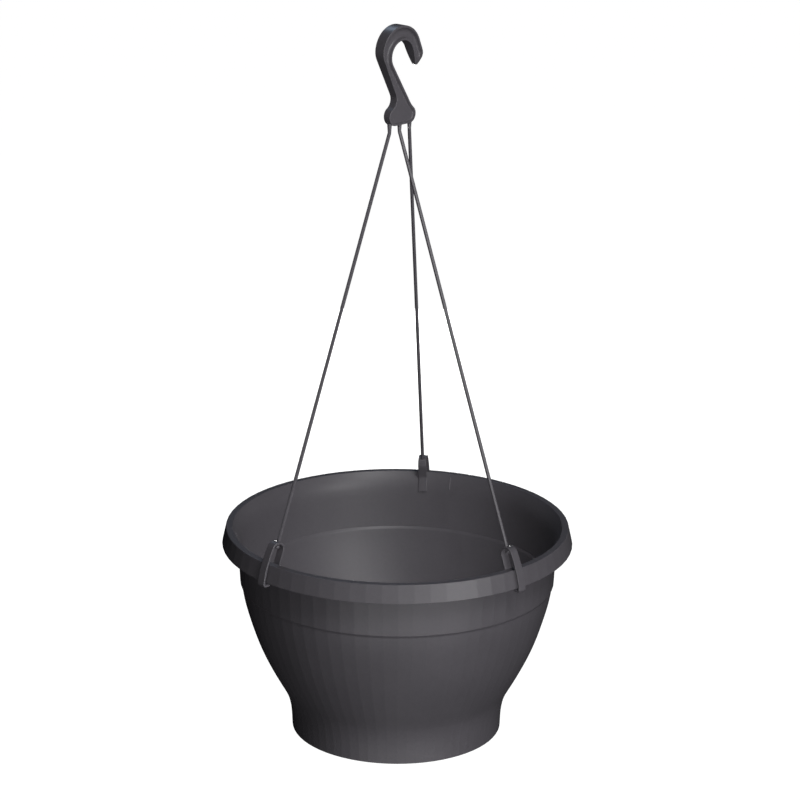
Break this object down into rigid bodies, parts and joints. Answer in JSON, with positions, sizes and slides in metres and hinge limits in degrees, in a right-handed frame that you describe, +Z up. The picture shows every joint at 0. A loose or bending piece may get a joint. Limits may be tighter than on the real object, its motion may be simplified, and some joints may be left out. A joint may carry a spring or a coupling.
{
  "type": "hanging basket",
  "caption": "Round hanging planter bowl with a folded rim, carried by three strands that clip over the rim and meet in one S-shaped hook.",
  "frame": {"origin": "centre of the round seat inside the hook, which goes over a bar or bracket", "axes": "+Z up along the bowl's axis, +X along the hook's flat side towards its tip, +Y through the hook's thickness"},
  "size_m": [0.3054, 0.3053, 0.615],
  "materials": {
    "bowl": "satin",
    "hanger": "satin"
  },
  "bodies": {
    "hook": {"hook": "hanger"},
    "strand_rear": {"strand_rear": "hanger"},
    "strand_left": {"strand_left": "hanger"},
    "strand_right": {"strand_right": "hanger"},
    "basket": {"basket": "bowl"},
    "clip_rear": {"clip_rear": "hanger"},
    "clip_left": {"clip_left": "hanger"},
    "clip_right": {"clip_right": "hanger"}
  },
  "joints": [
    {"name": "hanger_swing", "type": "hinge", "parent": "hook", "child": "strand_rear", "pos_m": [0.0011, 0, -0.0526], "axis": [1, 0, 0], "range_deg": [-4, 4]},
    {"name": "strand_left_swing", "type": "hinge", "parent": "hook", "child": "strand_left", "pos_m": [0.0011, 0, -0.0526], "axis": [1, 0, 0], "range_deg": [-4, 4]},
    {"name": "strand_right_swing", "type": "hinge", "parent": "hook", "child": "strand_right", "pos_m": [0.0011, 0, -0.0526], "axis": [1, 0, 0], "range_deg": [-4, 4]},
    {"name": "basket_lift", "type": "slide", "parent": "strand_rear", "child": "basket", "axis": [0, 0, 1], "range_m": [0, 0.002]},
    {"name": "clip_left_rock", "type": "hinge", "parent": "strand_left", "child": "clip_left", "pos_m": [-0.13386, 0.00616, -0.3898], "axis": [-0.0454, -0.999, 0], "range_deg": [0, 2.85]},
    {"name": "clip_right_rock", "type": "hinge", "parent": "strand_right", "child": "clip_right", "pos_m": [-0.00956, -0.13532, -0.3898], "axis": [0.9965, -0.0837, 0], "range_deg": [0, 2.85]},
    {"name": "clip_rear_rock", "type": "hinge", "parent": "strand_rear", "child": "clip_rear", "pos_m": [0.11203, 0.07435, -0.39151], "axis": [-0.5592, 0.829, 0], "range_deg": [0, 1.55]}
  ],
  "couplings": [
    {"joint": "strand_left_swing", "follows": "hanger_swing", "ratio": 1},
    {"joint": "strand_right_swing", "follows": "hanger_swing", "ratio": 1},
    {"joint": "clip_left_rock", "follows": "basket_lift", "rad_per_m": 24.435},
    {"joint": "clip_right_rock", "follows": "basket_lift", "rad_per_m": 24.435},
    {"joint": "clip_rear_rock", "follows": "basket_lift", "rad_per_m": 13.09}
  ]
}
